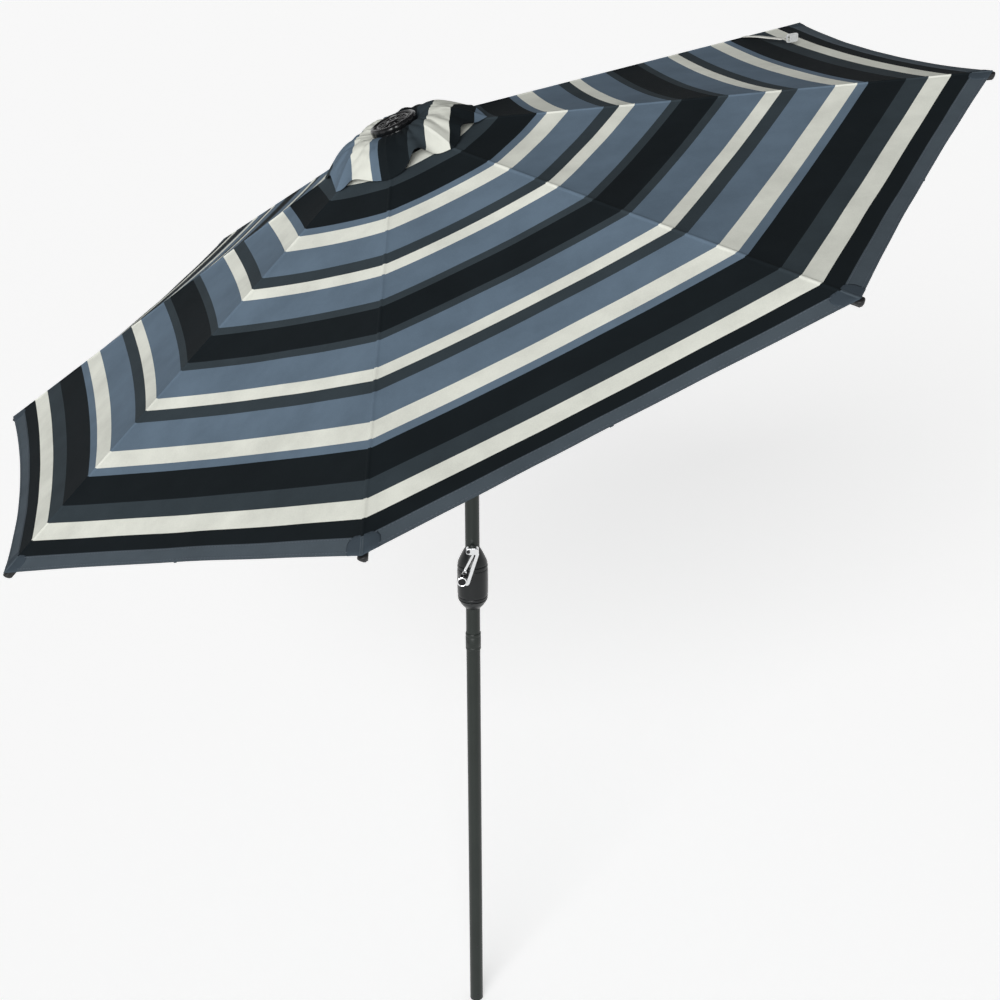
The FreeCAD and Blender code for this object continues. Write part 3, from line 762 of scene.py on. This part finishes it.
on_crank("crank_screw", SCREW, SCREW_AT, 32, BLACK)
on_crank("crank_screw_ring", SCREW_RING, SCREW_AT, 32)
on_crank("crank_spindle", SPINDLE, (0, 0, 0.032), 40, STEEL)
on_crank("crank_stud", STUD, (-0.0205, -0.0570, X1 - 0.0005), 32)
on_crank("crank_boss", KNOB_BOSS, (*KNOB_SPOT, X1 + 0.0003), 40)


def grip(turn, n):
    return (0.0, -0.00045 * (0.5 + 0.5 * math.cos(12 * turn)) if 3 <= n <= 8 else 0.0)


knob_at = on_arm(*KNOB_SPOT, X1 + 0.0004)
GRIP = [(0.0, 0.0), (0.0100, 0.0), (0.0118, 0.0010), (0.0127, 0.0040), (0.0124, 0.0090), (0.0121, 0.0130),
        (0.0124, 0.0170), (0.0131, 0.0200), (0.0135, 0.0220), (0.0133, 0.0240), (0.0126, 0.0248),
        (0.0106, 0.0248), (0.0, 0.0244)]
KNOB_RING = [(0.0096, 0.0243), (0.0122, 0.0243), (0.0129, 0.0250), (0.0127, 0.0259), (0.0114, 0.0264),
             (0.0100, 0.0260)]
KNOB_FACE = [(0.0099, 0.0246), (0.0094, 0.0254), (0.0050, 0.0259), (0.0, 0.0260)]
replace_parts(lathe("crank_knob_grip", GRIP, knob_at, "knob", GLOSS, 72, grip), "crank_knob")
lathe("crank_knob_ring", KNOB_RING, knob_at, "knob", CHROME, 64)
lathe("crank_knob_face", KNOB_FACE, knob_at, "knob", GLOSS, 48, close=False)

# ---------------------------------------------------------------- pole details
SLEEVE = [(0.0191, 1.1852), (0.0199, 1.1852), (0.0206, 1.1862), (0.0208, 1.1880), (0.0208, 1.1925),
          (0.02035, 1.1935), (0.02035, 1.1950), (0.0208, 1.1960), (0.0208, 1.2240), (0.02035, 1.2250),
          (0.02035, 1.2265), (0.0208, 1.2275), (0.0208, 1.2325), (0.0206, 1.2342), (0.0199, 1.2350),
          (0.0191, 1.2350)]
BUTTON = [(0.0, 0.0), (0.0034, 0.0), (0.0034, 0.0008), (0.0026, 0.0014), (0.0, 0.0017)]
sleeve = lathe("pole_coupling_sleeve", SLEEVE, Matrix.Identity(4), "pole", PAINT, 72)
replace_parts(sleeve, "pole_coupling")
for tag, turn, z in (("catch", -92.0, 0.204), ("lower", -92.0, 0.0230), ("coupling", -150.0, 1.2100)):
    out = POLE_R + (0.0017 if tag == "coupling" else 0.0)
    spot = Matrix.Rotation(math.radians(turn), 4, "Z") @ Matrix.Translation((out - 0.0004, 0, z)) @ ALONG_X
    lathe("pole_button_" + tag, BUTTON, spot, "pole", BLACK, 28)

# ---------------------------------------------------------------- tie strap and buckle
GORE = MAST @ Matrix.Translation((0, 0, APEX)) @ Matrix.Rotation(GORE_TILT, 4, "Y")
STRAP_WIDE, STRAP_LONG = 0.019, 0.180
start, end = Vector((1.051, 0.412, 0.0)), Vector((1.107, 0.244, 0.0))
run = end - start
across = Vector((-run.y, run.x, 0)).normalized() * STRAP_WIDE / 2
verts, faces, uvs = [], [], []
for k in range(25):
    t = k / 24
    p = start + run * t
    lift = 0.0026 + 0.004 * math.sin(math.pi * t) ** 2 + 0.0012 * math.sin(9 * t)
    lift += 0.010 * max(0.0, (t - 0.82) / 0.18) ** 2
    for side in (-1, -0.4, 0.4, 1):
        verts.append(GORE @ (p + across * side + Vector((0, 0, lift + 0.0006 * (1 - abs(side))))))
        uvs.append((side * STRAP_WIDE / 2, t * STRAP_LONG))
    if k:
        a = 4 * (k - 1)
        faces += [(a + i, a + 1 + i, a + 5 + i, a + 4 + i) for i in range(3)]
strap = piece("tie_strap_webbing", verts, faces, [WEBBING], "rib_1", uvs=uvs)
solidify(strap, 0.0012)
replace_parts(strap, "tie_strap")
BUCKLE_AT = (GORE @ Matrix.Translation((1.107, 0.230, 0.0125)) @ Matrix.Rotation(math.radians(-90), 4, "Z")
             @ Matrix.Rotation(math.radians(12), 4, "Y"))
# the buckle's frame, as (distance off the strap, half width, half height)
FRAME_SECTIONS = [(0.0, 0.0158, 0.0112), (0.0006, 0.0164, 0.0118), (0.0030, 0.0164, 0.0118),
                  (0.0036, 0.0158, 0.0112), (0.0036, 0.0128, 0.0082), (0.0, 0.0128, 0.0082)]
around, rows = 32, len(FRAME_SECTIONS)
verts = [BUCKLE_AT @ Vector((x, y, z)) for x, wide, high in FRAME_SECTIONS
         for y, z in oval(0, 0, wide, high, around, 0.4)]
faces = []
for a in range(rows):
    this, after = a * around, (a + 1) % rows * around
    faces += [(this + k, this + (k + 1) % around, after + (k + 1) % around, after + k) for k in range(around)]
by_angle(piece("tie_buckle_frame", verts, faces, [BUCKLE], "rib_1"))


def buckle_part(name, outline, low, high, round_by):
    prism(name, outline, low, high, BUCKLE_AT, "rib_1", BUCKLE, round_by)


buckle_part("tie_buckle_plate", oval(0.0030, 0, 0.0096, 0.0086, 28, 0.4), 0.0006, 0.0030, 0.0004)
for k, z in enumerate((-0.0038, 0.0, 0.0038)):
    buckle_part("tie_buckle_tooth_%d" % k, oval(0.0040, z, 0.0060, 0.0010, 16, 0.6), 0.0026, 0.0040, 0.0003)

# ---------------------------------------------------------------- materials on the CAD nodes that stay
for name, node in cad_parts.items():
    if name.startswith(("rib_joint", "tilt_pin")):
        mat = STEEL
    elif name.startswith("rib_tip") or name in ("foot_cap", "top_hub", "runner", "winding_drum"):
        mat = BLACK
    elif name.startswith(("rib_", "stretcher_")):
        mat = FRAME_PAINT
    elif name == "tilt_button":
        mat = GLOSS
    else:
        mat = PAINT
    node.data.materials.clear()
    node.data.materials.append(mat)

# ---------------------------------------------------------------- floor, light and camera
bpy.ops.mesh.primitive_plane_add(size=400, location=(0, 0, -0.001))
floor = bpy.context.object
floor.name = "studio_floor"
ground, tree, shader = material("studio_floor", (0.86, 0.86, 0.86), rough=0.9, specular=0.1)
shader.inputs["Emission Color"].default_value = (1, 1, 1, 1)
shader.inputs["Emission Strength"].default_value = 0.46
floor.data.materials.append(ground)

world = bpy.data.worlds.new("studio")
scene.world = world
world.use_nodes = True
sky = world.node_tree
facing, height = new(sky, "ShaderNodeTexCoord"), new(sky, "ShaderNodeSeparateXYZ")
sky.links.new(facing.outputs["Generated"], height.inputs["Vector"])
glow = new(sky, "ShaderNodeValToRGB")
for k, (position, level) in enumerate(((0.22, 0.93), (0.58, 0.10))):  # pale at the horizon, dim overhead
    stop = glow.color_ramp.elements[k]
    stop.position, stop.color = position, (level, level, level, 1)
sky.links.new(height.outputs["Z"], glow.inputs["Fac"])
sky.links.new(glow.outputs["Color"], sky.nodes["Background"].inputs["Color"])
sky.nodes["Background"].inputs["Strength"].default_value = 1.0


def sun(name, toward, angle, power):
    """A wide soft light that shines from a direction."""
    data = bpy.data.lights.new(name, "SUN")
    data.angle, data.energy = math.radians(angle), power
    made = bpy.data.objects.new(name, data)
    COLLECTION.objects.link(made)
    made.rotation_euler = Vector(toward).to_track_quat("Z", "Y").to_euler()
    return made


sun("key", (-0.45, -0.86, 0.27), 40, 3.6)

CAMERA_AT = Vector((-0.8890, -3.6538, 3.2131))
YAW, CAMERA_PITCH, ROLL, LENS = 14.786, -22.947, -0.106, 56.5
yaw, pitch, roll = (math.radians(a) for a in (YAW, CAMERA_PITCH, ROLL))
ahead = Vector((math.sin(yaw) * math.cos(pitch), math.cos(yaw) * math.cos(pitch), math.sin(pitch)))
right = Vector((math.cos(yaw), -math.sin(yaw), 0))
up = right.cross(ahead)
right, up = math.cos(roll) * right + math.sin(roll) * up, -math.sin(roll) * right + math.cos(roll) * up
camera = bpy.data.objects.new("camera", bpy.data.cameras.new("camera"))
COLLECTION.objects.link(camera)
camera.data.lens, camera.data.sensor_width = LENS, 36.0
camera.matrix_world = Matrix.Translation(CAMERA_AT) @ Matrix((right, up, -ahead)).transposed().to_4x4()
scene.camera = camera
scene.view_settings.view_transform = "Standard"
